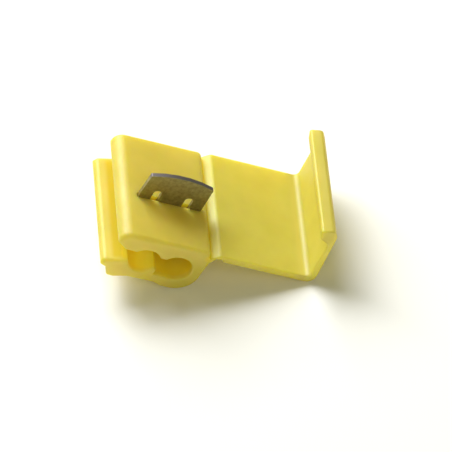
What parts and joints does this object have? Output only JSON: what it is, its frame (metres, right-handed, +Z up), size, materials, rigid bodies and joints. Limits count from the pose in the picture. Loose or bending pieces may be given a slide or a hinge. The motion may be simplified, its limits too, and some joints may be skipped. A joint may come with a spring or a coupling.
{
  "type": "wire tap splice connector",
  "caption": "Moulded tap splice connector lying open: channelled housing, raised slotted contact blade, and a cover on a thin web with a hooked latch flap.",
  "frame": {"origin": "middle of the bounding box on the floor that the open connector lies on", "axes": "+X from the housing towards the open cover, +Y along the wire channels away from the open end of the tap channel, +Z up; the housing is tilted about Y, because it lies on its rounded belly and on the cover's outer corner"},
  "size_m": [0.0428, 0.025, 0.0201],
  "materials": {
    "housing_nylon": "waxy semi-gloss",
    "web_nylon": "waxy semi-gloss",
    "cover_nylon": "waxy semi-gloss",
    "contact_metal": "dull tinned plate"
  },
  "bodies": {
    "housing": {"housing_base": "housing_nylon", "hinge_web": "web_nylon"},
    "cover": {"cover_panel": "cover_nylon"},
    "latch": {"latch_flap": "cover_nylon"},
    "blade": {"contact_blade": "contact_metal"}
  },
  "joints": [
    {"name": "cover_hinge", "type": "hinge", "parent": "housing", "child": "cover", "pos_m": [-0.00116, 0, 0.00935], "axis": [0, -1, 0], "range_deg": [0, 180], "deforming": ["hinge_web"]},
    {"name": "latch_flex", "type": "hinge", "parent": "cover", "child": "latch", "pos_m": [0.01676, 0, 0.0005], "axis": [0, 1, 0], "range_deg": [0, 8], "stiffness_Nm_per_rad": 0.05},
    {"name": "contact_press", "type": "slide", "parent": "housing", "child": "blade", "axis": [-0.4019, 0, -0.9157], "range_m": [0, 0.0068]}
  ],
  "couplings": [
    {"joint": "contact_press", "follows": "cover_hinge", "m_per_rad": 0.0021645}
  ]
}
